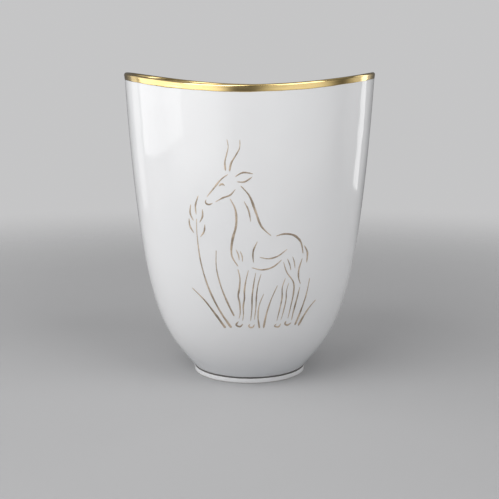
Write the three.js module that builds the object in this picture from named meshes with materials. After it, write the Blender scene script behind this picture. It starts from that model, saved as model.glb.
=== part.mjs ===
// A porcelain vase: a deep, open bowl shape on a small turned foot ring, with a wavy rim edged in gold
// and a line drawing of a gazelle among tall grasses, fired in gold on the front.
// Millimetres, +Z up. The origin is the centre of the foot ring's flat underside, and -Y is the front.
import * as THREE from "three";

// Overall size. The rim is highest at the two sides and lowest at the front and the back.
const HEIGHT = 220; // table to the highest point of the rim
const MOUTH_RADIUS = 89.6; // outside of the wall at its top, before the lip turns out
const RIM_DIP = 8.4; // how much lower the rim is at the front and the back

// The outer wall is one cubic Bezier curve in radius and height, from the foot to the mouth.
const FOOT_JOINT_RADIUS = 41; // where the wall starts, on top of the foot ring
const SWELL_RADIUS = 64; // first handle: how fast the bowl opens
const SWELL_HEIGHT = 32;
const SHOULDER_RADIUS = 80; // second handle: where the wall turns upright
const SHOULDER_HEIGHT = 40;

// Lip and wall.
const LIP_RADIUS = 1.5; // the lip is a half round of this radius
const LIP_FLARE = 0.35; // the lip turns out by this much
const LIP_FLARE_HEIGHT = 5; // over this height
const WALL_AT_FOOT = 5; // wall measured along the radius
const FLOOR_THICKNESS = 5.5;
const FLOOR_ROUND = 9; // size of the curve from the floor into the wall

// Foot ring, thrown and joined on separately.
const FOOT_HEIGHT = 3.7;
const FOOT_RADIUS = 41.5;
const FOOT_WALL = 5;
const FOOT_EDGE = 0.7; // rounding of the ring's edges
const FOOT_GAP = 0.3; // joint between the ring and the bowl

// Gold edging that wraps the lip, and the gold lines of the drawing.
const EDGING_HEIGHT = 4.7; // band seen from outside
const EDGING_INSIDE = 2.4; // band seen from inside
const EDGING_THICKNESS = 0.3;
const EDGING_GAP = 0.15; // between the glaze and the gold
const LINE_THICKNESS = 0.3;
const LINE_GAP = 0.15;
const LINE_STEP = 3; // length of one straight stretch of a line
const LINE_TIP = 0.4; // width of a line's thin end, as a share of its full width
const DRAWING_TURN = 3.6; // degrees from the front, towards +X
const DRAWING_RAISE = 0; // moves the whole drawing up the wall

// How finely the curved pieces are cut.
const SEGMENTS = 64;
const WALL_STEPS = 16;
const FLARE_STEPS = 3;
const LIP_STEPS = 6;

const PORCELAIN = { color: 0xe9eaec, roughness: 0.12, metalness: 0 };
const BISCUIT = { color: 0xd9d8d5, roughness: 0.55, metalness: 0 };
const RIM_GOLD = { color: 0xc6a263, roughness: 0.28, metalness: 1 };
const LINE_GOLD = { color: 0xb08a62, roughness: 0.4, metalness: 0.8 };

const vase = new THREE.Group();

function addPiece(name, geometry, finish) {
  const mesh = new THREE.Mesh(geometry, new THREE.MeshStandardMaterial(finish));
  mesh.name = name;
  vase.add(mesh);
}

// ---- the outer wall ----

const wallCurve = new THREE.CubicBezierCurve(
  new THREE.Vector2(FOOT_JOINT_RADIUS, FOOT_HEIGHT + FOOT_GAP),
  new THREE.Vector2(SWELL_RADIUS, SWELL_HEIGHT),
  new THREE.Vector2(SHOULDER_RADIUS, SHOULDER_HEIGHT),
  new THREE.Vector2(MOUTH_RADIUS, HEIGHT),
);

// Where on the wall curve a height is reached. The curve always climbs, so halving the interval finds it.
function curvePlaceAt(height) {
  let low = 0;
  let high = 1;
  for (let step = 0; step < 40; step += 1) {
    const middle = (low + high) / 2;
    if (wallCurve.getPoint(middle).y < height) low = middle;
    else high = middle;
  }
  return (low + high) / 2;
}

// Top of the gold edging at an angle round the vase. Angle 0 is the front.
function rimHeight(angle) {
  return HEIGHT - RIM_DIP * Math.cos(angle) ** 2;
}

// Top of the bare porcelain lip, under the gold.
function lipHeight(angle) {
  return rimHeight(angle) - EDGING_GAP - EDGING_THICKNESS;
}

// Outer radius of the wall at a height, with the lip's outward turn, which follows the wavy rim.
function wallRadius(height, angle) {
  const place = curvePlaceAt(height);
  const climb = (height - (lipHeight(angle) - LIP_FLARE_HEIGHT)) / LIP_FLARE_HEIGHT;
  const flare = LIP_FLARE * THREE.MathUtils.clamp(climb, 0, 1) ** 2;
  return wallCurve.getPoint(place).x + flare;
}

// Inner radius: the wall thins evenly from the foot to the lip.
function innerRadius(height, angle) {
  const share = height / lipHeight(angle);
  const wall = THREE.MathUtils.lerp(WALL_AT_FOOT, 2 * LIP_RADIUS, share);
  return wallRadius(height, angle) - wall;
}

// ---- turned pieces with a wavy top ----

// A lathe whose profile changes with the angle. profileAt gives the same number of points at every angle.
function wavyLathe(profileAt) {
  const first = profileAt(0);
  const geometry = new THREE.LatheGeometry(first, SEGMENTS);
  geometry.deleteAttribute("uv");
  geometry.deleteAttribute("normal");
  const position = geometry.getAttribute("position");
  for (let i = 0; i <= SEGMENTS; i += 1) {
    const angle = ((i % SEGMENTS) / SEGMENTS) * 2 * Math.PI;
    profileAt(angle).forEach((point, j) => {
      const index = i * first.length + j;
      position.setXYZ(index, point.x * Math.sin(angle), point.y, point.x * Math.cos(angle));
    });
  }
  geometry.rotateX(Math.PI / 2);
  geometry.computeVertexNormals();
  return geometry;
}

// Heights up the wall: even steps along the wall curve, then the lip's short outward turn.
function wallHeights(angle, bottom, top) {
  const first = curvePlaceAt(bottom);
  const last = curvePlaceAt(lipHeight(angle) - LIP_FLARE_HEIGHT);
  const heights = [];
  for (let i = 0; i < WALL_STEPS; i += 1) {
    heights.push(wallCurve.getPoint(THREE.MathUtils.lerp(first, last, i / WALL_STEPS)).y);
  }
  return [...heights, ...flareHeights(angle, top)];
}

function flareHeights(angle, top) {
  const start = lipHeight(angle) - LIP_FLARE_HEIGHT;
  const heights = [];
  for (let i = 0; i <= FLARE_STEPS; i += 1) {
    heights.push(THREE.MathUtils.lerp(start, top, i / FLARE_STEPS));
  }
  return heights;
}

// The lip's half round, offset outward by some layer, from the outside over the top to the inside.
function lipRound(angle, layer) {
  const centreHeight = lipHeight(angle) - LIP_RADIUS;
  const centreRadius = wallRadius(centreHeight, angle) - LIP_RADIUS;
  const size = LIP_RADIUS + layer;
  const points = [];
  for (let i = 0; i <= LIP_STEPS; i += 1) {
    const turn = (Math.PI * i) / LIP_STEPS;
    const radius = centreRadius + size * Math.cos(turn);
    points.push(new THREE.Vector2(radius, centreHeight + size * Math.sin(turn)));
  }
  return points;
}

function bodyProfile(angle) {
  const underside = FOOT_HEIGHT + FOOT_GAP;
  const floor = underside + FLOOR_THICKNESS;
  const roundTop = floor + FLOOR_ROUND;
  const lipStart = lipHeight(angle) - LIP_RADIUS;
  const outerPoint = (height) => new THREE.Vector2(wallRadius(height, angle), height);
  const innerPoint = (height) => new THREE.Vector2(innerRadius(height, angle), height);
  const outside = wallHeights(angle, underside, lipStart).map(outerPoint);
  const inside = wallHeights(angle, roundTop, lipStart).map(innerPoint);
  const floorEdge = innerRadius(floor, angle);
  const corner = new THREE.QuadraticBezierCurve(
    new THREE.Vector2(innerRadius(roundTop, angle), roundTop),
    new THREE.Vector2(floorEdge, floor),
    new THREE.Vector2(floorEdge - 2 * FLOOR_ROUND, floor),
  );
  return [
    new THREE.Vector2(0, underside),
    ...outside,
    ...lipRound(angle, 0).slice(1, -1),
    ...inside.reverse(),
    ...corner.getPoints(5).slice(1),
    new THREE.Vector2(0, floor),
  ];
}

// ---- the gold edging ----

// The gold's section is a thin hook over the lip. A skin is one side of it, some layer off the glaze.
function edgingSkin(angle, layer) {
  const lipStart = lipHeight(angle) - LIP_RADIUS;
  const outsideEdge = rimHeight(angle) - EDGING_HEIGHT;
  const insideEdge = rimHeight(angle) - EDGING_INSIDE;
  const between = flareHeights(angle, lipStart).slice(1, -1);
  const outerPoint = (height) => new THREE.Vector2(wallRadius(height, angle) + layer, height);
  return [
    ...[outsideEdge, ...between].map(outerPoint),
    ...lipRound(angle, layer),
    new THREE.Vector2(innerRadius(insideEdge, angle) - layer, insideEdge),
  ];
}

function edgingProfile(angle) {
  const outer = edgingSkin(angle, EDGING_GAP + EDGING_THICKNESS);
  const inner = edgingSkin(angle, EDGING_GAP).reverse();
  return [...outer, ...inner, outer[0]];
}

// ---- the foot ring ----

// A ring of rectangular section with its four edges rounded by one arc point each.
function footProfile() {
  const inside = FOOT_RADIUS - FOOT_WALL;
  const edge = FOOT_EDGE;
  const arc = FOOT_EDGE * (1 - Math.SQRT1_2);
  const corners = [
    [FOOT_RADIUS - edge, 0],
    [FOOT_RADIUS - arc, arc],
    [FOOT_RADIUS, edge],
    [FOOT_RADIUS, FOOT_HEIGHT - edge],
    [FOOT_RADIUS - arc, FOOT_HEIGHT - arc],
    [FOOT_RADIUS - edge, FOOT_HEIGHT],
    [inside + edge, FOOT_HEIGHT],
    [inside + arc, FOOT_HEIGHT - arc],
    [inside, FOOT_HEIGHT - edge],
    [inside, edge],
    [inside + arc, arc],
    [inside + edge, 0],
    [FOOT_RADIUS - edge, 0],
  ];
  return corners.map(([radius, height]) => new THREE.Vector2(radius, height));
}

// ---- the gold drawing ----

// Each line's points are millimetres round the wall (to the right) and above the table, from its start to
// its end. A "pen" line is thin at both ends. A "blade" is thick at its root and ends in a point.
const DRAWING = [
  ["brow", "pen", 1.1, [[-14, 154.2], [-18.8, 150.6], [-24, 144.3], [-28.6, 138.8]]],
  ["muzzle", "pen", 1.2, [[-29, 137.2], [-29.4, 135], [-27.2, 133.9], [-24.4, 134.9]]],
  ["jaw", "pen", 1.1, [[-22.6, 135.8], [-17.4, 138.7], [-12.6, 140.6], [-9.2, 144.4]]],
  ["eye", "pen", 1.3, [[-20.2, 146.4], [-18.2, 147.7], [-16.2, 146.8]]],
  ["near_horn", "blade", 1.4, [[-13, 156.2], [-11.8, 161.6], [-8.8, 166.6], [-6.4, 171.4], [-6.2, 176.6]]],
  ["far_horn", "blade", 1.2, [[-15.6, 156.6], [-16, 162], [-14.8, 167.2], [-13.8, 172], [-14.6, 176.8]]],
  ["ear_top", "pen", 1.1, [[-9.4, 152.6], [-4.2, 155.4], [2.4, 154.6]]],
  ["ear_bottom", "pen", 1.1, [[-8.2, 149.4], [-3.2, 149.4], [1.9, 152.7]]],
  ["nape", "pen", 1.5, [[-5.8, 146.8], [0, 140], [4, 129.6], [7.8, 119.8], [14.4, 113.2]]],
  ["neck_fold", "pen", 1, [[-3.6, 136.6], [-0.6, 130.4], [0.8, 123]]],
  ["throat", "pen", 1.6, [[-12.8, 138.2], [-9.2, 130.8], [-8.8, 120.6], [-11.4, 110], [-11.8, 100],
    [-7.6, 92.4]]],
  ["back", "pen", 1.5, [[17.6, 113], [23.6, 114.2], [30.4, 112.8], [35.4, 107.8], [37.2, 99.8]]],
  ["tail", "pen", 1.4, [[38, 105.4], [40.6, 100.2], [40.2, 93.2]]],
  ["flank_stripe", "pen", 1, [[6.6, 98.8], [13, 97.6], [19.4, 99.4], [25.6, 103.8]]],
  ["belly", "pen", 1.1, [[1.4, 91.6], [8.6, 90], [15.8, 91.8], [21.8, 96.6]]],
  ["shoulder", "pen", 1.1, [[5.2, 109.6], [2.4, 102.6], [2.6, 95]]],
  ["thigh", "pen", 1.2, [[36.8, 96.6], [34.4, 89.4], [34.2, 83.2], [35.8, 78.4]]],
  ["hind_shank", "pen", 1.2, [[35.4, 76.4], [33.4, 68], [31.2, 59.6], [29.6, 52]]],
  ["hind_leg_front", "pen", 1.1, [[23, 95], [25.4, 87.6], [30.4, 80], [30.6, 72], [28.6, 61.8],
    [26.8, 53.6]]],
  ["hind_hoof", "pen", 1.4, [[29.6, 50.2], [26.6, 48.6], [24.8, 49.9], [25.8, 52]]],
  ["foreleg_front", "pen", 1.2, [[-7.8, 90.6], [-6.4, 84], [-6.8, 77], [-7.6, 71.5], [-6.6, 66], [-6.3, 59],
    [-7.2, 54.8]]],
  ["foreleg_back", "pen", 1.1, [[-0.7, 89.8], [-2.4, 82.5], [-3.4, 75.5], [-3.4, 70], [-4.2, 64], [-4.1, 58],
    [-4.7, 53.2]]],
  ["fore_hoof", "pen", 1.4, [[-7.4, 52.8], [-9.1, 50], [-6.4, 48.8], [-4.4, 51]]],
  ["far_foreleg", "pen", 1, [[4.2, 88.2], [2.8, 80], [1.8, 71.5], [1.6, 62], [0.7, 53]]],
  ["far_foreleg_back", "pen", 0.9, [[7.8, 87.4], [5.8, 80], [4.7, 72], [4.3, 63], [3.3, 54]]],
  ["far_fore_hoof", "pen", 1.2, [[0.4, 51], [-0.6, 49], [2, 48.2], [3.4, 50.6]]],
  ["far_hind_leg", "pen", 1, [[24.6, 83.6], [22.4, 77], [22.3, 69.5], [20.6, 60.5], [18.8, 52.4]]],
  ["far_hind_leg_back", "pen", 0.9, [[27, 80], [25.4, 74], [25.2, 68], [23.6, 60], [21.8, 53]]],
  ["far_hind_hoof", "pen", 1.2, [[18.6, 50.4], [17.4, 48.6], [20.2, 47.9], [21.8, 50.4]]],
  ["chest_hair_left", "pen", 0.8, [[-9, 104], [-7.4, 100.5], [-6.8, 96.5]]],
  ["chest_hair_right", "pen", 0.8, [[-6.2, 103], [-4.9, 99.5], [-4.6, 95.6]]],
  ["thigh_hair_left", "pen", 0.8, [[25.6, 97.2], [27.4, 93], [28.4, 88.6]]],
  ["thigh_hair_right", "pen", 0.8, [[29.4, 98.4], [30.8, 94.2], [31.4, 89.8]]],
  ["tall_grass", "blade", 1.6, [[-12.4, 47.6], [-20.4, 60], [-28.2, 76], [-33.6, 94], [-36, 112],
    [-36.2, 124]]],
  ["low_grass", "blade", 1.9, [[-16.6, 47.2], [-23.8, 57.4], [-31.8, 67.2], [-41, 75]]],
  ["inner_grass", "blade", 1.4, [[-10.4, 56.6], [-14.8, 66], [-19.6, 78.6], [-22.4, 91], [-22.4, 103]]],
  ["seed_top", "pen", 1.2, [[-36.4, 126.6], [-36.8, 133], [-34.6, 139.6]]],
  ["seed_upper_left", "pen", 1.2, [[-38.4, 122.4], [-41, 127.4], [-40.4, 133.4]]],
  ["seed_upper_right", "pen", 1.2, [[-34, 121.4], [-31.8, 125.6], [-31.8, 130.6]]],
  ["seed_lower_left", "pen", 1.2, [[-38.4, 114], [-41.4, 118.6], [-42, 124]]],
  ["seed_lower_right", "pen", 1.2, [[-33.6, 111.6], [-30.8, 115.6], [-30.2, 120.4]]],
  ["right_grass", "blade", 1.6, [[32.4, 48], [36.6, 58], [40.6, 69.6], [43.2, 82]]],
  ["right_low_grass", "blade", 1.9, [[35.2, 47.2], [39.4, 54.2], [44, 60.2], [49.4, 65]]],
  ["middle_grass", "blade", 1.4, [[9.6, 47.6], [11.4, 57.6], [14.6, 68.4], [19, 78.6]]],
  ["short_grass", "blade", 1.2, [[6.8, 47.6], [5.8, 56], [6.6, 64.8], [9.6, 73]]],
];

// Width along a line, as a share of its full width. 0 is the start and 1 is the end.
const PENS = {
  pen: (place) => THREE.MathUtils.lerp(LINE_TIP, 1, Math.sin(Math.PI * place)),
  blade: (place) => THREE.MathUtils.lerp(1, LINE_TIP, place),
};

// Bends a flat piece onto the wall: x runs round the vase, y is the height and z stands off the glaze.
function wrapOntoWall(geometry) {
  const position = geometry.getAttribute("position");
  for (let i = 0; i < position.count; i += 1) {
    const height = position.getY(i) + DRAWING_RAISE;
    const radius = wallRadius(height, 0);
    const angle = position.getX(i) / radius + THREE.MathUtils.degToRad(DRAWING_TURN);
    const reach = radius + LINE_GAP + position.getZ(i);
    position.setXYZ(i, reach * Math.sin(angle), -reach * Math.cos(angle), height);
  }
}

// One line is a thin bar, one unit wide and long, that is drawn out along its path to its own width.
function goldLine(pen, width, points) {
  const path = new THREE.SplineCurve(points.map(([across, up]) => new THREE.Vector2(across, up)));
  const steps = Math.max(5, Math.round(path.getLength() / LINE_STEP));
  const bar = new THREE.BoxGeometry(1, 1, LINE_THICKNESS, 1, steps, 1);
  bar.translate(0, 0.5, LINE_THICKNESS / 2);
  const position = bar.getAttribute("position");
  for (let i = 0; i < position.count; i += 1) {
    const place = THREE.MathUtils.clamp(position.getY(i), 0, 1);
    const side = position.getX(i) * width * PENS[pen](place);
    const along = path.getTangentAt(place);
    const centre = path.getPointAt(place);
    position.setXY(i, centre.x + along.y * side, centre.y - along.x * side);
  }
  wrapOntoWall(bar);
  bar.deleteAttribute("uv");
  bar.computeVertexNormals();
  return bar;
}

// ---- assembly ----

addPiece("vase_body", wavyLathe(bodyProfile), PORCELAIN);
addPiece("foot_ring", wavyLathe(footProfile), BISCUIT);
addPiece("rim_edging", wavyLathe(edgingProfile), RIM_GOLD);
for (const [name, pen, width, points] of DRAWING) {
  addPiece("line_" + name, goldLine(pen, width, points), LINE_GOLD);
}

export default vase;
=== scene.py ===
"""Builds the looks of a porcelain vase around its CAD frame.

The pieces are a glazed bowl, a foot ring, a gold edging and a gold drawing.

Laid out as a Blender add-on. The panel lists the sizes and colours that a user would change, and one
button for each step. Lengths are metres and +Z is up. The front of the vase, which carries the drawing,
faces -Y.
"""

import math

import bpy
import numpy as np
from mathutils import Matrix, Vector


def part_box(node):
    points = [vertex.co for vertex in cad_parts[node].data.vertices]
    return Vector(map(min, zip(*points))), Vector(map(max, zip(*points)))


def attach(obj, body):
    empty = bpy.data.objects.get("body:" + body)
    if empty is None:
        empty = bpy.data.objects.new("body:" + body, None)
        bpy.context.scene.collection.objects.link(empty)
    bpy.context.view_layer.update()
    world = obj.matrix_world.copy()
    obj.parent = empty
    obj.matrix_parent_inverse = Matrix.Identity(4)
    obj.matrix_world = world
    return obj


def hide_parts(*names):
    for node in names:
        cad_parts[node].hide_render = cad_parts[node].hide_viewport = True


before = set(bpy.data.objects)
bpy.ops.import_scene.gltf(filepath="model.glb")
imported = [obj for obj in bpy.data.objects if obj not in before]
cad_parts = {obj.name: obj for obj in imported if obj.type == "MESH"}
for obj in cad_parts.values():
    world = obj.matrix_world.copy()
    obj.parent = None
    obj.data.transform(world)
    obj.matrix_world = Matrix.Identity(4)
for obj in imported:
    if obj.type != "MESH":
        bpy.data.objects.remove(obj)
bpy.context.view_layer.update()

bl_info = {
    "name": "Porcelain vase",
    "version": (1, 0, 0),
    "blender": (4, 5, 0),
    "location": "3D View > Sidebar > Vase",
    "description": "Makes a gold-edged porcelain vase with a line drawing fired on its front",
    "category": "Add Mesh",
}

MM = 0.001
TURN = 2 * math.pi

FOOT_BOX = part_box("foot_ring")
BODY_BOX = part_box("vase_body")
EDGING_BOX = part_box("rim_edging")

# The gold band seen from outside.
EDGING_HEIGHT = 4.7 * MM

# How finely the turned pieces are cut: steps round the vase, and rows along each stretch of the section.
ROUND_STEPS = 320
WALL_ROWS = 120
INSIDE_ROWS = 70
LIP_ROWS = 13
CORNER_ROWS = 12
FLAT_ROWS = 5
CURVE_STEPS = 4001
ROW_CROWDING = 1.3  # over 1, the wall's rows lie closer together near the foot

# Small shapes that a user has no need to set.
UNDERSIDE_EDGE = 0.5 * MM  # rounding of the bowl's underside
FLOOR_START = 0.2  # the flat faces start at this share of their radius, and a fan fills the rest
BAND_WANDER = 0.3 * MM  # how far the gold band's edges stray
BAND_SHIFT = 40  # steps round by which the inner edge's straying is turned from the outer one's
THIN_EDGE = 1 / 6  # share of the gold's thickness that is left at the band's edges
JOINT_SHADOW_DEPTH = 0.25 * MM  # height of the painted shadow line on each side of the joint over the foot ring
FOOT_BISCUIT = 0.4 * MM  # the foot ring is bare of glaze up to here
BELOW = -10 * MM  # a height under everything
ABOVE_FOOT = 10 * MM  # a height that is past the top of the foot ring

# Points across one gold line, and the length of one step along it.
LINE_CROSS_POINTS = 7
LINE_STEP = 0.5 * MM
LINE_FEWEST_STEPS = 12
LINE_CURVE_STEPS = 60
LINE_BED = 0.05 * MM  # how far a line's flat bed lies inside the glaze
BED_SHARE = 0.6  # the bed's half width as a share of the line's
LINE_TIP = 0.35  # width and height of a line's very end, as a share of those beside it

# Grain of each finish, as noise cells to a metre.
CLOUDS = 16.0
RIPPLES = 42.0
SPECK_CELLS = 95.0
SMUDGES = 34.0
RAGGED_EDGE = 300.0
GLAZE_GRAIN = 520.0
CLAY_GRAIN = 900.0
GOLD_PATCHES = 46.0
GOLD_STREAKS = 90.0
RUBBED_SPOTS = 420.0
BRUSH_LOAD = 120.0
LINE_GRAIN = 1500.0
FLOOR_CLOUDS = 14.0

# Painted shade low on the bowl, a darker and cooler glaze colour: it starts over the foot, is darkest a
# little higher, and is gone at the last height.
LOW_SHADE_START = 4.5 * MM
LOW_SHADE_FULL = 6 * MM
LOW_SHADE_END = 30 * MM

# The floor is a round sheet, in rings from the first radius to the last.
FLOOR_RADII = (0.02, 2.2)
FLOOR_RINGS = 24

# Wide soft lobes of the room's light: degrees round from the camera, degrees up, half width, strength.
ROOM_LOBES = (
    (-50, -6, 38, 1.6),
    (-112, 0, 42, 0.3),
    (46, -3, 46, 0.85),
    (122, 0, 30, 0.55),
    (0, 90, 60, 0.3),
)

# The most that the lobes can add up to.
LOBES_MOST = 2.0

# Soft boxes: name, degrees round from the camera, distance, height, how much lower each one aims, size,
# and brightness.
SOFT_BOXES = (
    ("left_soft_box", -88, 1.0, 0.6, 0.6, (1.0, 1.2), 1.2),
    ("left_back_strip", -122, 0.62, 0.3, 0.3, (0.14, 0.6), 0.5),
    ("right_back_strip", 121, 0.62, 0.335, 0.335, (0.12, 0.6), 1.5),
    ("front_left_soft_box", -38, 1.0, 1.15, 0.12, (1.0, 1.0), 3.25),
    ("front_right_soft_box", 48, 1.0, 1.15, 0.12, (1.0, 1.0), 2.35),
)

# Each gold line: its name, the way the brush was used, its full width, and its points. A point is
# millimetres round the wall to the right, and millimetres above the table. A "pen" line is thin at both
# ends, and a "blade" is thick at its root and ends in a point.
DRAWING = [
    ("brow", "pen", 1.1, [(-14, 154.2), (-18.8, 150.6), (-24, 144.3), (-28.6, 138.8)]),
    ("muzzle", "pen", 1.2, [(-29, 137.2), (-29.4, 135), (-27.2, 133.9), (-24.4, 134.9)]),
    ("jaw", "pen", 1.1, [(-22.6, 135.8), (-17.4, 138.7), (-12.6, 140.6), (-9.2, 144.4)]),
    ("eye", "pen", 1.3, [(-20.2, 146.4), (-18.2, 147.7), (-16.2, 146.8)]),
    ("near_horn", "blade", 1.4, [(-13, 156.2), (-11.8, 161.6), (-8.8, 166.6), (-6.4, 171.4), (-6.2, 176.6)]),
    ("far_horn", "blade", 1.2, [(-15.6, 156.6), (-16, 162), (-14.8, 167.2), (-13.8, 172), (-14.6, 176.8)]),
    ("ear_top", "pen", 1.1, [(-9.4, 152.6), (-4.2, 155.4), (2.4, 154.6)]),
    ("ear_bottom", "pen", 1.1, [(-8.2, 149.4), (-3.2, 149.4), (1.9, 152.7)]),
    ("nape", "pen", 1.5, [(-5.8, 146.8), (0, 140), (4, 129.6), (7.8, 119.8), (14.4, 113.2)]),
    ("neck_fold", "pen", 1, [(-3.6, 136.6), (-0.6, 130.4), (0.8, 123)]),
    ("throat", "pen", 1.6, [(-12.8, 138.2), (-9.2, 130.8), (-8.8, 120.6), (-11.4, 110), (-11.8, 100),
                            (-7.6, 92.4)]),
    ("back", "pen", 1.5, [(17.6, 113), (23.6, 114.2), (30.4, 112.8), (35.4, 107.8), (37.2, 99.8)]),
    ("tail", "pen", 1.4, [(38, 105.4), (40.6, 100.2), (40.2, 93.2)]),
    ("flank_stripe", "pen", 1, [(6.6, 98.8), (13, 97.6), (19.4, 99.4), (25.6, 103.8)]),
    ("belly", "pen", 1.1, [(1.4, 91.6), (8.6, 90), (15.8, 91.8), (21.8, 96.6)]),
    ("shoulder", "pen", 1.1, [(5.2, 109.6), (2.4, 102.6), (2.6, 95)]),
    ("thigh", "pen", 1.2, [(36.8, 96.6), (34.4, 89.4), (34.2, 83.2), (35.8, 78.4)]),
    ("hind_shank", "pen", 1.2, [(35.4, 76.4), (33.4, 68), (31.2, 59.6), (29.6, 52)]),
    ("hind_leg_front", "pen", 1.1, [(23, 95), (25.4, 87.6), (30.4, 80), (30.6, 72), (28.6, 61.8),
                            (26.8, 53.6)]),
    ("hind_hoof", "pen", 1.4, [(29.6, 50.2), (26.6, 48.6), (24.8, 49.9), (25.8, 52)]),
    ("foreleg_front", "pen", 1.2, [(-7.8, 90.6), (-6.4, 84), (-6.8, 77), (-7.6, 71.5), (-6.6, 66),
                            (-6.3, 59), (-7.2, 54.8)]),
    ("foreleg_back", "pen", 1.1, [(-0.7, 89.8), (-2.4, 82.5), (-3.4, 75.5), (-3.4, 70), (-4.2, 64),
                            (-4.1, 58), (-4.7, 53.2)]),
    ("fore_hoof", "pen", 1.4, [(-7.4, 52.8), (-9.1, 50), (-6.4, 48.8), (-4.4, 51)]),
    ("far_foreleg", "pen", 1, [(4.2, 88.2), (2.8, 80), (1.8, 71.5), (1.6, 62), (0.7, 53)]),
    ("far_foreleg_back", "pen", 0.9, [(7.8, 87.4), (5.8, 80), (4.7, 72), (4.3, 63), (3.3, 54)]),
    ("far_fore_hoof", "pen", 1.2, [(0.4, 51), (-0.6, 49), (2, 48.2), (3.4, 50.6)]),
    ("far_hind_leg", "pen", 1, [(24.6, 83.6), (22.4, 77), (22.3, 69.5), (20.6, 60.5), (18.8, 52.4)]),
    ("far_hind_leg_back", "pen", 0.9, [(27, 80), (25.4, 74), (25.2, 68), (23.6, 60), (21.8, 53)]),
    ("far_hind_hoof", "pen", 1.2, [(18.6, 50.4), (17.4, 48.6), (20.2, 47.9), (21.8, 50.4)]),
    ("chest_hair_left", "pen", 0.8, [(-9, 104), (-7.4, 100.5), (-6.8, 96.5)]),
    ("chest_hair_right", "pen", 0.8, [(-6.2, 103), (-4.9, 99.5), (-4.6, 95.6)]),
    ("thigh_hair_left", "pen", 0.8, [(25.6, 97.2), (27.4, 93), (28.4, 88.6)]),
    ("thigh_hair_right", "pen", 0.8, [(29.4, 98.4), (30.8, 94.2), (31.4, 89.8)]),
    ("tall_grass", "blade", 1.6, [(-12.4, 47.6), (-20.4, 60), (-28.2, 76), (-33.6, 94), (-36, 112),
                            (-36.2, 124)]),
    ("low_grass", "blade", 1.9, [(-16.6, 47.2), (-23.8, 57.4), (-31.8, 67.2), (-41, 75)]),
    ("inner_grass", "blade", 1.4, [(-10.4, 56.6), (-14.8, 66), (-19.6, 78.6), (-22.4, 91), (-22.4, 103)]),
    ("seed_top", "pen", 1.2, [(-36.4, 126.6), (-36.8, 133), (-34.6, 139.6)]),
    ("seed_upper_left", "pen", 1.2, [(-38.4, 122.4), (-41, 127.4), (-40.4, 133.4)]),
    ("seed_upper_right", "pen", 1.2, [(-34, 121.4), (-31.8, 125.6), (-31.8, 130.6)]),
    ("seed_lower_left", "pen", 1.2, [(-38.4, 114), (-41.4, 118.6), (-42, 124)]),
    ("seed_lower_right", "pen", 1.2, [(-33.6, 111.6), (-30.8, 115.6), (-30.2, 120.4)]),
    ("right_grass", "blade", 1.6, [(32.4, 48), (36.6, 58), (40.6, 69.6), (43.2, 82)]),
    ("right_low_grass", "blade", 1.9, [(35.2, 47.2), (39.4, 54.2), (44, 60.2), (49.4, 65)]),
    ("middle_grass", "blade", 1.4, [(9.6, 47.6), (11.4, 57.6), (14.6, 68.4), (19, 78.6)]),
    ("short_grass", "blade", 1.2, [(6.8, 47.6), (5.8, 56), (6.6, 64.8), (9.6, 73)]),
]


# ---- what a user can set ----


def length(name, description, default):
    """A size in metres, shown to the user as a length."""
    return bpy.props.FloatProperty(
        name=name, description=description, default=default, min=0.0, unit="LENGTH", precision=5
    )


def share(name, description, default):
    """A number from 0 to 1."""
    return bpy.props.FloatProperty(
        name=name, description=description, default=default, min=0.0, max=1.0, subtype="FACTOR"
    )


def angle(name, description, degrees):
    """An angle, stored in radians and shown in degrees."""
    return bpy.props.FloatProperty(
        name=name, description=description, default=math.radians(degrees), subtype="ANGLE", unit="ROTATION"
    )


def colour(name, description, default):
    """A linear colour of three numbers."""
    return bpy.props.FloatVectorProperty(
        name=name, description=description, default=default, size=3, min=0.0, max=1.0, subtype="COLOR"
    )


class VaseShape(bpy.types.PropertyGroup):
    """Sizes of the vase. The overall ones start at what the CAD frame has."""

    height: length("Height", "Table to the highest point of the gold edge", EDGING_BOX[1].z)
    edging_height: length("Edging height", "Gold band on the outside of the lip", EDGING_HEIGHT)
    rim_dip: length(
        "Rim dip",
        "How much lower the rim is at the front and the back",
        EDGING_BOX[1].z - EDGING_BOX[0].z - EDGING_HEIGHT,
    )
    underside: length("Underside", "Table to the bowl's underside", BODY_BOX[0].z)
    joint_radius: length("Joint radius", "Where the wall starts on the foot ring", 41 * MM)
    swell_radius: length("Swell radius", "First handle of the wall's curve", 64 * MM)
    swell_height: length("Swell height", "First handle of the wall's curve", 32 * MM)
    shoulder_radius: length("Shoulder radius", "Second handle of the wall's curve", 80 * MM)
    shoulder_height: length("Shoulder height", "Second handle of the wall's curve", 40 * MM)
    mouth_radius: length("Mouth radius", "Wall at its top, before the lip turns out", 89.6 * MM)
    lip_radius: length("Lip radius", "Half the lip's thickness", 1.5 * MM)
    lip_flare: length("Lip flare", "How far the lip turns out", 0.35 * MM)
    lip_flare_height: length("Flare height", "Height over which the lip turns out", 5 * MM)
    wall_at_foot: length("Wall at foot", "Wall measured along the radius", 5 * MM)
    floor_thickness: length("Floor", "Thickness of the floor", 5.5 * MM)
    floor_round: length("Floor round", "Curve from the floor into the wall", 9 * MM)
    foot_radius: length("Foot radius", "Outside of the foot ring", FOOT_BOX[1].x)
    foot_height: length("Foot height", "Height of the foot ring", FOOT_BOX[1].z)
    foot_wall: length("Foot wall", "Thickness of the foot ring", 5 * MM)
    foot_edge: length("Foot edge", "Rounding of the foot ring's edges", 0.7 * MM)
    edging_inside: length("Edging inside", "Gold band on the inside of the lip", 2.4 * MM)
    gold_thickness: length("Gold thickness", "How far the gold stands off the glaze", 0.09 * MM)
    unevenness: length("Unevenness", "How far the hand-finished wall strays from round", 0.05 * MM)
    drawing_turn: angle("Drawing turn", "Where the drawing's middle is, from the front", 3.6)


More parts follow.
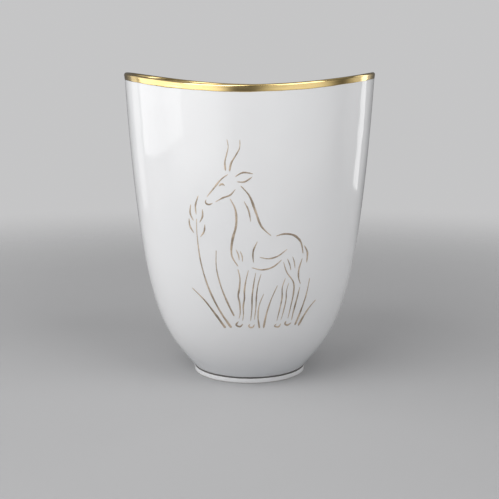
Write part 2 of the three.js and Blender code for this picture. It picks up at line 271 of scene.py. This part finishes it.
class VaseColours(bpy.types.PropertyGroup):
    """Colours and finishes of the glaze and the gold."""

    glaze: colour("Glaze", "White of the glazed porcelain", (0.81, 0.812, 0.818))
    # Painted shade low on the bowl near the foot, darker and cooler than the glaze. The slow random clouds
    # use the same tint.
    glaze_shade_and_tint: colour("Pooled glaze", "Cooler tint where the glaze lies thick", (0.70, 0.725, 0.75))
    speck: colour("Specks", "Tiny iron specks in the clay", (0.34, 0.28, 0.22))
    biscuit: colour("Biscuit", "Bare clay under the foot", (0.62, 0.58, 0.52))
    # Painted shadow: the colour of the dark line painted into the joint over the foot ring, where the crease
    # lies in shade.
    painted_joint_shadow: colour("Joint", "Dark line in the joint over the foot ring", (0.11, 0.10, 0.09))
    gold_bright: colour("Bright gold", "Burnished gold of the edging", (0.92, 0.7, 0.32))
    gold_deep: colour("Deep gold", "Where the gold lies thick or is rubbed", (0.56, 0.38, 0.12))
    line_bright: colour("Bright line", "Thin, pale stretches of a line", (0.70, 0.57, 0.44))
    line_deep: colour("Deep line", "Thick, grey-brown stretches of a line", (0.32, 0.26, 0.2))
    glaze_roughness: share("Glaze roughness", "Roughness of clean glaze", 0.05)
    gold_roughness: share("Gold roughness", "Roughness of burnished gold", 0.11)
    line_roughness: share("Line roughness", "Roughness of the drawn lines", 0.38)


class VaseStage(bpy.types.PropertyGroup):
    """Camera, floor and lights."""

    camera_turn: angle("Camera turn", "Round the vase from the front, towards +X", 3.6)
    camera_distance: length("Camera distance", "From the vase's axis, along the floor", 0.703)
    camera_height: length("Camera height", "Above the floor", 0.212)
    camera_tilt: angle("Camera tilt", "Downwards from level", 9.82)
    camera_lens: bpy.props.FloatProperty(
        name="Lens", description="Focal length in millimetres", default=69.17, min=1.0, unit="CAMERA"
    )
    floor_colour: colour("Floor", "Pale floor under the vase", (0.43, 0.43, 0.435))
    floor_reach: length("Floor reach", "Where the floor begins to fade into the backdrop", 0.3)
    floor_end: length("Floor end", "Where the floor has faded out", 0.98)
    backdrop: colour("Backdrop", "What the camera sees behind the floor", (0.56, 0.56, 0.565))
    room: colour("Room light", "Soft light from all round", (0.135, 0.135, 0.139))


# ---- surfaces ----


def cubic(places, points):
    """A cubic Bezier curve: its four points, weighted by the Bernstein polynomials of each place from 0 to
    1."""
    t = places[:, None]
    p0, p1, p2, p3 = (np.array(p) for p in points)
    return (1 - t) ** 3 * p0 + 3 * (1 - t) ** 2 * t * p1 + 3 * (1 - t) * t**2 * p2 + t**3 * p3


class Wall:
    """The vase's wall as functions of height and angle. Angle 0 is the front and grows towards +X."""

    def __init__(self, shape):
        self.shape = shape
        handles = [
            (shape.joint_radius, shape.underside),
            (shape.swell_radius, shape.swell_height),
            (shape.shoulder_radius, shape.shoulder_height),
            (shape.mouth_radius, shape.height),
        ]
        curve = cubic(np.linspace(0, 1, CURVE_STEPS), handles)
        self.curve_radii = curve[:, 0]
        self.curve_heights = curve[:, 1]

    def rim(self, around):
        """Top of the gold: full height less a dip that goes with the squared cosine of the angle."""
        return self.shape.height - self.shape.rim_dip * np.cos(around) ** 2

    def lip(self, around):
        """Top of the porcelain, one layer of gold lower."""
        return self.rim(around) - self.shape.gold_thickness

    def lip_start(self, around):
        """Where the lip's half round begins."""
        return self.lip(around) - self.shape.lip_radius

    def radius(self, height, around):
        """The Bezier wall's radius, plus a flare that grows with the square of the climb to the lip, plus
        a sum of slow sine waves that a hand-finished wall strays by."""
        shape = self.shape
        climb = (height - self.lip(around) + shape.lip_flare_height) / shape.lip_flare_height
        flare = shape.lip_flare * np.clip(climb, 0, 1) ** 2
        smooth = np.interp(height, self.curve_heights, self.curve_radii)
        return smooth + flare + shape.unevenness * self.waves(height, around)

    def waves(self, height, around):
        """Three slow waves round and up the wall, fading to nothing at the foot."""
        up = height / self.shape.height
        slow = np.sin(2 * around + 5 * up + 0.4)
        middle = 0.5 * np.sin(5 * around - 9 * up + 1.7)
        quick = 0.25 * np.sin(9 * around + 21 * up + 3.1)
        return (slow + middle + quick) * np.clip(8 * up, 0, 1)

    def inside(self, height, around):
        """The outer radius less a wall that thins evenly from the foot to the lip."""
        shape = self.shape
        climb = height / self.lip(around)
        return self.radius(height, around) - shape.wall_at_foot * (1 - climb) - 2 * shape.lip_radius * climb

    def lip_round(self, around, layer, rows):
        """The lip's half round, some layer off the glaze: a half circle from outside to inside."""
        centre_height = self.lip_start(around)
        centre_radius = self.radius(centre_height, around) - self.shape.lip_radius
        size = self.shape.lip_radius + layer
        turn = np.linspace(0, math.pi, rows)[:, None]
        return centre_radius + size * np.cos(turn), centre_height + size * np.sin(turn)


def round_angles():
    """The angles of the steps round a turned piece."""
    return np.arange(ROUND_STEPS)[None, :] * (TURN / ROUND_STEPS)


def turned_grid(radius, height, around):
    """Points of a turned surface: radius and height arrays, one row per ring, carried round by the angle."""
    width = np.broadcast_to(radius, (radius.shape[0], around.shape[1]))
    tall = np.broadcast_to(height, width.shape)
    return np.stack([width * np.sin(around), -width * np.cos(around), tall], axis=-1)


def grid_quads(rows, columns, wrap_rows=False):
    """Corner numbers of a grid that is closed round its columns, and along its rows too if wrap_rows."""
    last = rows if wrap_rows else rows - 1
    row = np.arange(last)[:, None]
    column = np.arange(columns)[None, :]
    beside = (column + 1) % columns
    above = (row + 1) % rows
    lower = [row * columns + column, row * columns + beside]
    upper = [above * columns + beside, above * columns + column]
    return np.stack(lower + upper, axis=-1).reshape(-1, 4)


def fan(ring, pole, flip):
    """Triangles from a ring of point numbers to one pole."""
    beside = np.roll(ring, -1)
    tip = np.full_like(ring, pole)
    return np.stack([beside, ring, tip] if flip else [ring, beside, tip], axis=-1)


def make_piece(name, points, quads, triangles=None, brush=None):
    """A smooth mesh piece from whole arrays. brush gives each point its place along and across a stroke."""
    mesh = bpy.data.meshes.new(name)
    faces = quads.tolist() + (triangles.tolist() if triangles is not None else [])
    mesh.from_pydata(points.reshape(-1, 3), [], faces)
    mesh.shade_smooth()
    if brush is not None:
        corners = np.empty(len(mesh.loops), np.int32)
        mesh.loops.foreach_get("vertex_index", corners)
        layer = mesh.uv_layers.new(name="Brush")
        layer.data.foreach_set("uv", brush.reshape(-1, 2)[corners].astype(np.float32).ravel())
    mesh.update()
    piece = bpy.data.objects.new(name, mesh)
    bpy.context.scene.collection.objects.link(piece)
    return piece


def hand_over(piece, nodes, material):
    """Gives the piece its material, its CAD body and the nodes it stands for."""
    piece.data.materials.append(material)
    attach(piece, "root")
    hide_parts(*nodes)


# ---- shader maths ----


class Value:
    """A number in a node tree. Arithmetic on it adds Math nodes."""

    def __init__(self, nodes, socket):
        self.nodes = nodes
        self.socket = socket

    def math(self, operation, *inputs):
        return self.nodes.node("ShaderNodeMath", {"operation": operation}, dict(enumerate(inputs)))

    def __add__(self, other):
        return self.math("ADD", self, other)

    __radd__ = __add__

    def __sub__(self, other):
        return self.math("SUBTRACT", self, other)

    def __rsub__(self, other):
        return self.math("SUBTRACT", other, self)

    def __mul__(self, other):
        return self.math("MULTIPLY", self, other)

    __rmul__ = __mul__

    def __truediv__(self, other):
        return self.math("DIVIDE", self, other)

    def __rtruediv__(self, other):
        return self.math("DIVIDE", other, self)

    def clamp(self):
        """The number kept between 0 and 1."""
        return self.nodes.node("ShaderNodeClamp", {}, {"Value": self})

    def ramp(self, low, high):
        """0 below low, 1 above high and a smooth S between."""
        inputs = {"Value": self, "From Min": low, "From Max": high}
        return self.nodes.node("ShaderNodeMapRange", {"interpolation_type": "SMOOTHSTEP"}, inputs)


class Nodes:
    """Adds and links the nodes of one node tree."""

    def __init__(self, tree):
        self.tree = tree

    def node(self, kind, settings, inputs, output=0):
        """Adds a node, makes its settings, fills or links its inputs, and returns one output."""
        made = self.tree.nodes.new(kind)
        for key, setting in settings.items():
            setattr(made, key, setting)
        for key, value in inputs.items():
            self.feed(made.inputs[key], value)
        return Value(self, made.outputs[output])

    def feed(self, socket, value):
        """Links a value to a socket, or sets the socket to a plain number or colour."""
        if isinstance(value, Value):
            self.tree.links.new(value.socket, socket)
        else:
            socket.default_value = value

    def mix(self, amount, first, second):
        """One colour fading into another. A Mix node's colours are its inputs 6 and 7, and its output 2."""
        pair = [value if isinstance(value, Value) else (*value, 1.0) for value in (first, second)]
        inputs = {"Factor": amount, 6: pair[0], 7: pair[1]}
        return self.node("ShaderNodeMix", {"data_type": "RGBA"}, inputs, 2)


class Paint(Nodes):
    """One material with a single shader, and the nodes that feed it."""

    def __init__(self, name):
        self.material = bpy.data.materials.new(name)
        self.material.use_nodes = True
        super().__init__(self.material.node_tree)
        self.shader = self.tree.nodes["Principled BSDF"]

    def place(self, scale=(1.0, 1.0, 1.0)):
        """The object's own coordinates, stretched by a scale."""
        spot = self.node("ShaderNodeTexCoord", {}, {}, "Object")
        return self.node("ShaderNodeMapping", {}, {"Vector": spot, "Scale": scale})

    def height(self):
        """Height above the table."""
        spot = self.node("ShaderNodeTexCoord", {}, {}, "Object")
        return self.node("ShaderNodeSeparateXYZ", {}, {"Vector": spot}, "Z")

    def along_brush(self):
        """Place along a brush stroke, from 0 to 1."""
        spot = self.node("ShaderNodeUVMap", {"uv_map": "Brush"}, {})
        return self.node("ShaderNodeSeparateXYZ", {}, {"Vector": spot}, "X")

    def noise(self, spot, scale, detail=2.0):
        """Soft noise about 0.5, with a number of cells to a metre."""
        inputs = {"Vector": spot, "Scale": scale, "Detail": detail, "Roughness": 0.55}
        return self.node("ShaderNodeTexNoise", {}, inputs, "Fac")

    def bump(self, tall, distance, under=None):
        """Bends the surface's normal as if it were raised by a distance, on top of another bump."""
        inputs = {"Height": tall, "Distance": distance, "Strength": 1.0}
        if under is not None:
            inputs["Normal"] = under
        return self.node("ShaderNodeBump", {}, inputs)

    def finish(self, **inputs):
        """Feeds the shader's own sockets. Underscores stand for spaces."""
        for key, value in inputs.items():
            self.feed(self.shader.inputs[key.replace("_", " ")], value)
        return self.material


def specks(paint):
    """1 in a few tiny iron specks: near the middle of a cell, in the few cells that drew a high number."""
    spot = paint.place()
    cells = {"Vector": spot, "Scale": SPECK_CELLS}
    near = paint.node("ShaderNodeTexVoronoi", {}, cells, "Distance")
    drawn = paint.node("ShaderNodeTexVoronoi", {}, cells, "Color")
    lot = paint.node("ShaderNodeSeparateColor", {}, {"Color": drawn}, "Red")
    return (1 - near.ramp(0.012, 0.03)) * lot.ramp(0.86, 0.9)


def glaze_material(colours, name, biscuit_height, shadow_low, shadow_high):
    """Clear glaze over white clay: a slow tint, painted shade low on the bowl, rare specks, faint ripples,
    bare clay on the lowest edge, and a painted shadow line in the joint between the two given heights."""
    paint = Paint(name)
    height = paint.height()
    cloud = paint.noise(paint.place(), CLOUDS)
    # Painted shade: darker, cooler glaze low on the bowl, plus slow random clouds of the same tint.
    painted_low_shade = height.ramp(LOW_SHADE_START, LOW_SHADE_FULL) - height.ramp(LOW_SHADE_FULL, LOW_SHADE_END)
    low_shade_and_clouds = painted_low_shade * 0.45 + cloud.ramp(0.45, 0.75) * 0.14
    ragged = height + (paint.noise(paint.place(), RAGGED_EDGE) - 0.5) * (0.4 * MM)
    bare = 1 - ragged.ramp(biscuit_height, biscuit_height + 0.3 * MM)
    # Painted shadow line in the joint, between the two given heights; the glaze is also rougher there.
    soft = 0.25 * MM
    joint = ragged.ramp(shadow_low - soft, shadow_low) - ragged.ramp(shadow_high, shadow_high + soft)
    glazed = paint.mix(low_shade_and_clouds.clamp(), colours.glaze, colours.glaze_shade_and_tint)
    specked = paint.mix(specks(paint) * 0.6, glazed, colours.speck)
    clay = paint.mix(paint.noise(paint.place(), CLAY_GRAIN), colours.biscuit, colours.glaze)
    # The painted shadow of the joint is mixed over the glaze.
    joint_shadowed = paint.mix((joint * 0.85).clamp(), specked, colours.painted_joint_shadow)
    smudge = paint.noise(paint.place((1.0, 1.0, 0.6)), SMUDGES, 4.0).ramp(0.5, 0.8)
    roughness = colours.glaze_roughness + smudge * 0.05 + bare * 0.6 + joint * 0.4
    ripple = paint.bump(paint.noise(paint.place(), RIPPLES, 1.0), 0.3 * MM)
    grain = paint.bump(paint.noise(paint.place(), GLAZE_GRAIN) * (0.12 + bare), 0.05 * MM, under=ripple)
    return paint.finish(
        Base_Color=paint.mix(bare.clamp(), joint_shadowed, clay),
        Roughness=roughness.clamp(),
        Normal=grain,
        IOR=1.5,
    )


def edging_material(colours):
    """Burnished gold laid on with a brush: streaks along the rim, thicker patches, and rubbed spots."""
    paint = Paint("burnished_gold")
    streaks = paint.noise(paint.place((1.0, 1.0, 14.0)), GOLD_STREAKS, 3.0)
    patches = paint.noise(paint.place((1.0, 1.0, 3.0)), GOLD_PATCHES, 3.0)
    rubbed = paint.noise(paint.place(), RUBBED_SPOTS, 4.0).ramp(0.62, 0.8)
    deep = (patches.ramp(0.42, 0.72) * 0.3 + streaks.ramp(0.45, 0.75) * 0.25 + rubbed * 0.2).clamp()
    roughness = colours.gold_roughness + streaks * 0.05 + rubbed * 0.14
    return paint.finish(
        Base_Color=paint.mix(deep, colours.gold_bright, colours.gold_deep),
        Metallic=1.0,
        Roughness=roughness.clamp(),
        Normal=paint.bump(streaks * 0.4 + patches * 0.6, 0.03 * MM),
    )


def line_material(colours):
    """Drawn gold: brown where the brush was full, pale at the tips and edges of a stroke, and grainy."""
    paint = Paint("drawn_gold")
    load = paint.noise(paint.place(), BRUSH_LOAD, 3.0)
    grain = paint.noise(paint.place(), LINE_GRAIN)
    stroke = paint.along_brush()
    full = stroke.ramp(0.0, 0.3) - stroke.ramp(0.7, 1.0)
    deep = (load.ramp(0.3, 0.65) * (0.35 + full * 0.45) + grain.ramp(0.45, 0.7) * 0.25).clamp()
    roughness = colours.line_roughness + grain * 0.2
    return paint.finish(
        Base_Color=paint.mix(deep, colours.line_bright, colours.line_deep),
        Metallic=(0.55 + load.ramp(0.4, 0.7) * 0.25).clamp(),
        Roughness=roughness.clamp(),
        Normal=paint.bump(grain, 0.04 * MM),
    )


# ---- one operator for each piece or group of like pieces ----


class VASE_OT_body(bpy.types.Operator):
    """Make the glazed bowl: underside, wall, lip, inside and floor in one closed surface"""

    bl_idname = "vase.body"
    bl_label = "Bowl"

    def execute(self, context):
        shape = context.scene.vase_shape
        wall = Wall(shape)
        around = round_angles()
        radii, heights = self.section(shape, wall, around)
        rings = turned_grid(radii, heights, around)
        rows = rings.shape[0]
        poles = np.array([[0, 0, shape.underside], [0, 0, shape.underside + shape.floor_thickness]])
        points = np.concatenate([rings.reshape(-1, 3), poles])
        quads = grid_quads(rows, ROUND_STEPS)
        first = np.arange(ROUND_STEPS)
        last = first + (rows - 1) * ROUND_STEPS
        bottom = fan(first, rows * ROUND_STEPS, flip=True)
        top = fan(last, rows * ROUND_STEPS + 1, flip=False)
        piece = make_piece("porcelain_bowl", points, quads, np.concatenate([bottom, top]))
        # Painted shadow line on the bowl's underside, up to this height.
        joint = shape.underside + JOINT_SHADOW_DEPTH
        material = glaze_material(context.scene.vase_colours, "porcelain_glaze", BELOW, BELOW, joint)
        hand_over(piece, ["vase_body"], material)
        return {"FINISHED"}

    def section(self, shape, wall, around):
        """Rings of the bowl from its underside up the outside, over the lip and down to the floor."""
        level = np.zeros_like(around)
        floor = shape.underside + shape.floor_thickness
        edge = UNDERSIDE_EDGE
        under_radii = np.linspace(FLOOR_START, 1, FLAT_ROWS)[:, None] * (shape.joint_radius - edge)
        turn = np.linspace(0, math.pi / 2, FLAT_ROWS)[1:, None]
        edge_radii = shape.joint_radius - edge + edge * np.sin(turn)
        edge_heights = shape.underside + edge * (1 - np.cos(turn))
        start = wall.lip_start(around)
        climb = np.linspace(0, 1, WALL_ROWS)[1:-1, None] ** ROW_CROWDING
        outer = shape.underside + edge + (start - shape.underside - edge) * climb
        lip_radii, lip_heights = wall.lip_round(around, 0.0, LIP_ROWS)
        round_top = floor + shape.floor_round
        descent = np.linspace(0, 1, INSIDE_ROWS)[1:, None]
        inner = start + (round_top - start) * descent
        corner_radii, corner_heights = self.corner(shape, wall, around, floor, round_top)
        floor_radii = np.linspace(1, FLOOR_START, FLAT_ROWS)[1:, None] * corner_radii[-1:]
        radii = [under_radii + level, edge_radii + level, wall.radius(outer, around), lip_radii]
        radii += [wall.inside(inner, around), corner_radii, floor_radii]
        heights = [np.full((FLAT_ROWS, 1), shape.underside) + level, edge_heights + level, outer]
        heights += [lip_heights, inner, corner_heights, np.full_like(floor_radii, floor)]
        return np.concatenate(radii), np.concatenate(heights)

    def corner(self, shape, wall, around, floor, round_top):
        """The floor's curve into the wall: a quadratic Bezier whose handle is where wall and floor would
        meet."""
        t = np.linspace(0, 1, CORNER_ROWS)[1:, None]
        top_radius = wall.inside(np.full_like(around, round_top), around)
        handle_radius = wall.inside(np.full_like(around, floor), around)
        end_radius = handle_radius - 2 * shape.floor_round
        radii = (1 - t) ** 2 * top_radius + 2 * (1 - t) * t * handle_radius + t**2 * end_radius
        heights = (1 - t) ** 2 * round_top + (1 - (1 - t) ** 2) * floor
        return radii, heights + np.zeros_like(around)


class VASE_OT_foot(bpy.types.Operator):
    """Make the turned foot ring: a rounded rectangle carried round the axis"""

    bl_idname = "vase.foot"
    bl_label = "Foot ring"

    def execute(self, context):
        shape = context.scene.vase_shape
        around = round_angles()
        turn = np.linspace(0, TURN, 4 * FLAT_ROWS, endpoint=False)
        quarter = np.floor(turn / (math.pi / 2))
        turn = quarter * (math.pi / 2) + (turn % (math.pi / 2)) * FLAT_ROWS / (FLAT_ROWS - 1)
        edge = shape.foot_edge
        half_wall = shape.foot_wall / 2 - edge
        half_height = shape.foot_height / 2 - edge
        across = np.where((quarter == 0) | (quarter == 3), half_wall, -half_wall)
        up = np.where(quarter < 2, half_height, -half_height)
        radii = shape.foot_radius - shape.foot_wall / 2 + across + edge * np.cos(turn)
        heights = shape.foot_height / 2 + up + edge * np.sin(turn)
        points = turned_grid(radii[:, None], heights[:, None], around)
        quads = grid_quads(len(radii), ROUND_STEPS, wrap_rows=True)
        piece = make_piece("foot_ring_glazed", points, quads)
        # Painted shadow line on the top of the foot ring, from this height up.
        joint = shape.foot_height - JOINT_SHADOW_DEPTH
        colours = context.scene.vase_colours
        material = glaze_material(colours, "porcelain_foot", FOOT_BISCUIT, joint, ABOVE_FOOT)
        hand_over(piece, ["foot_ring"], material)
        return {"FINISHED"}


class VASE_OT_edging(bpy.types.Operator):
    """Make the gold edging: a thin hook of gold over the lip with a brushed lower edge"""

    bl_idname = "vase.edging"
    bl_label = "Gold edging"

    def execute(self, context):
        shape = context.scene.vase_shape
        wall = Wall(shape)
        around = round_angles()
        outer_radii, outer_heights = self.skin(shape, wall, around, shape.gold_thickness)
        inner_radii, inner_heights = self.skin(shape, wall, around, -shape.gold_thickness)
        radii = np.concatenate([outer_radii, inner_radii[::-1]])
        heights = np.concatenate([outer_heights, inner_heights[::-1]])
        points = turned_grid(radii, heights, around)
        quads = grid_quads(radii.shape[0], ROUND_STEPS, wrap_rows=True)
        piece = make_piece("gold_edging", points, quads)
        hand_over(piece, ["rim_edging"], edging_material(context.scene.vase_colours))
        return {"FINISHED"}

    def skin(self, shape, wall, around, layer):
        """One side of the gold, from its lower edge outside, over the lip, to its edge inside. The layer
        thins at both edges. They stray by a sum of sine waves, as a brushed band's do."""
        wander = 0.5 * np.sin(3 * around + 0.6) + 0.3 * np.sin(11 * around + 2.0)
        wander = wander + 0.2 * np.sin(29 * around)
        low = wall.rim(around) - shape.edging_height - BAND_WANDER * wander
        start = wall.lip_start(around)
        inside_wander = np.roll(wander, BAND_SHIFT, axis=1)
        inside_low = wall.rim(around) - shape.edging_inside - BAND_WANDER * inside_wander
        climb = np.linspace(0, 1, LIP_ROWS)[:-1, None]
        outer_heights = low + (start - low) * climb
        feather = THIN_EDGE + (1 - THIN_EDGE) * np.sin(np.minimum(climb * 4, 1) * math.pi / 2)
        outer_radii = wall.radius(outer_heights, around) + layer * feather
        lip_radii, lip_heights = wall.lip_round(around, layer, LIP_ROWS)
        descent = np.linspace(0, 1, FLAT_ROWS)[1:, None]
        inner_heights = start + (inside_low - start) * descent
        thin = THIN_EDGE + (1 - THIN_EDGE) * np.cos(descent * math.pi / 2)
        inner_radii = wall.inside(inner_heights, around) - layer * thin
        radii = np.concatenate([outer_radii, lip_radii, inner_radii])
        heights = np.concatenate([outer_heights, lip_heights, inner_heights])
        return radii, heights


class VASE_OT_drawing(bpy.types.Operator):
    """Make the drawing: one domed ribbon of gold for each brushed line, laid on the glaze"""

    bl_idname = "vase.drawing"
    bl_label = "Gold drawing"

    def execute(self, context):
        shape = context.scene.vase_shape
        wall = Wall(shape)
        material = line_material(context.scene.vase_colours)
        for number, (name, pen, width, points) in enumerate(DRAWING):
            path = self.path(np.array(points, float) * MM)
            places = np.linspace(0, 1, len(path))
            widths = width * MM * self.pen_width(pen, places, number)
            surface, brush = self.ribbon(shape, wall, path, widths)
            piece = self.close(name, surface, brush)
            hand_over(piece, ["line_" + name], material)
        return {"FINISHED"}

    def path(self, points):
        """A Catmull-Rom curve through the points, in even steps of its length: each stretch is a cubic whose
        slopes at its two ends are half the chord between the neighbours on either side."""
        before = np.vstack([points[:1], points[:-2]])
        after = np.vstack([points[2:], points[-1:]])
        start, end = points[:-1], points[1:]
        slope_in = (end - before) / 2
        slope_out = (after - start) / 2
        t = np.linspace(0, 1, LINE_CURVE_STEPS, endpoint=False)[None, :, None]
        square = -3 * start + 3 * end - 2 * slope_in - slope_out
        cube = 2 * start - 2 * end + slope_in + slope_out
        terms = (start, slope_in, square, cube)
        curve = sum(term[:, None] * t**power for power, term in enumerate(terms)).reshape(-1, 2)
        curve = np.vstack([curve, points[-1:]])
        run = np.concatenate([[0], np.cumsum(np.hypot(*np.diff(curve, axis=0).T))])
        even = np.linspace(0, run[-1], max(LINE_FEWEST_STEPS, int(run[-1] / LINE_STEP)))
        return np.stack([np.interp(even, run, curve[:, 0]), np.interp(even, run, curve[:, 1])], axis=1)

    def pen_width(self, pen, places, number):
        """Width as a share of the full width, with small swells that differ from line to line."""
        swell = 1 + 0.09 * np.sin(17 * places + number) + 0.05 * np.sin(41 * places + 2.3 * number)
        if pen == "pen":
            return (0.4 + 0.6 * np.sin(math.pi * places)) * swell
        return (1 - 0.65 * places) * swell

    def ribbon(self, shape, wall, path, widths):
        """A strip along the path: across it, a half circle squashed to a low dome that stands off the
        glaze, and under it a flat bed just inside the glaze. Both are bent round the wall, and narrow
        evenly over the last steps at each end."""
        along = np.gradient(path, axis=0)
        along /= np.hypot(along[:, :1], along[:, 1:])
        side = np.stack([along[:, 1], -along[:, 0]], axis=1)
        step = np.arange(len(path))
        taper = np.minimum(1, np.minimum(step, step[::-1]) / 2 + LINE_TIP)
        turn = np.linspace(math.pi, 0, LINE_CROSS_POINTS)
        across = np.concatenate([np.cos(turn), [BED_SHARE, -BED_SHARE]])
        layer = np.concatenate([np.sin(turn) * shape.gold_thickness, [-LINE_BED, -LINE_BED]])
        half = (widths * taper)[:, None] / 2
        flat = path[:, None, :] + side[:, None, :] * (half * across)[:, :, None]
        height = flat[..., 1]
        radius = wall.radius(height, flat[..., 0] / shape.shoulder_radius)
        around = flat[..., 0] / radius + shape.drawing_turn
        reach = radius + layer * taper[:, None]
        surface = np.stack([reach * np.sin(around), -reach * np.cos(around), height], axis=-1)
        places = np.linspace(0, 1, len(path))[:, None]
        brush = np.stack(np.broadcast_arrays(places, (across[None, :] + 1) / 2), axis=-1)
        return surface, brush

    def close(self, name, surface, brush):
        """Joins the strip round its section and closes its two ends, each with a fan to a middle point."""
        rows, columns = surface.shape[:2]
        quads = grid_quads(rows, columns)
        ends = np.stack([surface[0].mean(axis=0), surface[-1].mean(axis=0)])
        points = np.concatenate([surface.reshape(-1, 3), ends])
        first = np.arange(columns)
        start = fan(first, rows * columns, flip=True)
        end = fan(first + (rows - 1) * columns, rows * columns + 1, flip=False)
        places = np.concatenate([brush.reshape(-1, 2), [[0, 0.5], [1, 0.5]]])
        return make_piece("gold_" + name, points, quads, np.concatenate([start, end]), brush=places)


class VASE_OT_stage(bpy.types.Operator):
    """Set the stage: pale floor, soft studio lights, room light and camera"""

    bl_idname = "vase.stage"
    bl_label = "Stage"

    def execute(self, context):
        stage = context.scene.vase_stage
        self.floor(stage)
        self.room(context.scene, stage)
        for box in SOFT_BOXES:
            self.light(stage, *box)
        self.camera(context.scene, stage)
        context.scene.view_settings.view_transform = "Standard"
        return {"FINISHED"}

    def floor(self, stage):
        """A flat round sheet at height 0 that fades out with its distance from the middle."""
        around = round_angles()
        radii = np.linspace(*FLOOR_RADII, FLOOR_RINGS)[:, None] + 0 * around
        rings = turned_grid(radii, np.zeros_like(radii), around)
        points = np.concatenate([rings.reshape(-1, 3), [[0, 0, 0]]])
        middle = fan(np.arange(ROUND_STEPS), radii.size, flip=True)
        piece = make_piece("floor", points, grid_quads(len(radii), ROUND_STEPS), middle)
        piece.data.flip_normals()
        paint = Paint("pale_floor")
        spot = paint.node("ShaderNodeTexCoord", {}, {}, "Object")
        reach = paint.node("ShaderNodeVectorMath", {"operation": "LENGTH"}, {"Vector": spot}, "Value")
        soft = paint.noise(paint.place(), FLOOR_CLOUDS, 4.0)
        darker = tuple(0.975 * channel for channel in stage.floor_colour)
        piece.data.materials.append(
            paint.finish(
                Base_Color=paint.mix(soft, stage.floor_colour, darker),
                Roughness=0.9,
                Alpha=1 - reach.ramp(stage.floor_reach, stage.floor_end),
            )
        )

    def room(self, scene, stage):
        """Soft light from all round: an even part, and wide lobes, each a smooth step of the cosine between
        a direction and the lobe's middle. The camera sees the backdrop's colour instead."""
        world = bpy.data.worlds.new("room")
        world.use_nodes = True
        scene.world = world
        nodes = Nodes(world.node_tree)
        spot = nodes.node("ShaderNodeTexCoord", {}, {}, "Generated")
        total = 0.0
        for turn, rise, width, strength in ROOM_LOBES:
            around = stage.camera_turn + math.radians(turn)
            level = math.cos(math.radians(rise))
            middle = (level * math.sin(around), -level * math.cos(around), math.sin(math.radians(rise)))
            inputs = {0: spot, 1: middle}
            cosine = nodes.node("ShaderNodeVectorMath", {"operation": "DOT_PRODUCT"}, inputs, "Value")
            total = cosine.ramp(math.cos(math.radians(width)), 1.0) * strength + total
        lit = nodes.mix((total / LOBES_MOST).clamp(), stage.room, (LOBES_MOST,) * 3)
        seen = nodes.node("ShaderNodeLightPath", {}, {}, "Is Camera Ray")
        background = world.node_tree.nodes["Background"]
        nodes.feed(background.inputs["Color"], nodes.mix(seen, lit, stage.backdrop))

    def light(self, stage, name, turn, distance, height, aim_drop, size, brightness):
        """A rectangular soft box that faces the vase's axis. Its power is its brightness times its area
        times pi."""
        data = bpy.data.lights.new(name, "AREA")
        data.shape = "RECTANGLE"
        data.size, data.size_y = size
        data.energy = math.pi * brightness * size[0] * size[1]
        lamp = bpy.data.objects.new(name, data)
        bpy.context.scene.collection.objects.link(lamp)
        around = stage.camera_turn + math.radians(turn)
        lamp.location = (distance * math.sin(around), -distance * math.cos(around), height)
        aim = lamp.location.copy()
        aim.z -= aim_drop
        lamp.rotation_mode = "QUATERNION"
        lamp.rotation_quaternion = aim.to_track_quat("Z", "Y")
        lamp.visible_camera = False

    def camera(self, scene, stage):
        """The camera looks level along its turn, then tilts down."""
        data = bpy.data.cameras.new("camera")
        data.lens = stage.camera_lens
        data.sensor_width = 36.0
        data.clip_start = 0.01
        made = bpy.data.objects.new("camera", data)
        scene.collection.objects.link(made)
        turn = stage.camera_turn
        distance = stage.camera_distance
        made.location = (distance * math.sin(turn), -distance * math.cos(turn), stage.camera_height)
        made.rotation_euler = (math.pi / 2 - stage.camera_tilt, 0, turn)
        scene.camera = made


class VASE_PT_panel(bpy.types.Panel):
    """Lists the vase's sizes, colours and steps"""

    bl_idname = "VASE_PT_panel"
    bl_label = "Porcelain vase"
    bl_space_type = "VIEW_3D"
    bl_region_type = "UI"
    bl_category = "Vase"

    def draw(self, context):
        for group in (context.scene.vase_shape, context.scene.vase_colours, context.scene.vase_stage):
            box = self.layout.box()
            for key in group.bl_rna.properties.keys():
                if key not in {"rna_type", "name"}:
                    box.prop(group, key)
        for step in STEPS:
            self.layout.operator(step.bl_idname)


GROUPS = {"vase_shape": VaseShape, "vase_colours": VaseColours, "vase_stage": VaseStage}
STEPS = (VASE_OT_body, VASE_OT_foot, VASE_OT_edging, VASE_OT_drawing, VASE_OT_stage)


def register():
    for key, group in GROUPS.items():
        bpy.utils.register_class(group)
        setattr(bpy.types.Scene, key, bpy.props.PointerProperty(type=group))
    for step in (*STEPS, VASE_PT_panel):
        bpy.utils.register_class(step)


def unregister():
    for step in reversed((*STEPS, VASE_PT_panel)):
        bpy.utils.unregister_class(step)
    for key, group in GROUPS.items():
        delattr(bpy.types.Scene, key)
        bpy.utils.unregister_class(group)


def main():
    register()
    bpy.ops.vase.body()
    bpy.ops.vase.foot()
    bpy.ops.vase.edging()
    bpy.ops.vase.drawing()
    bpy.ops.vase.stage()


if __name__ == "__main__":
    main()
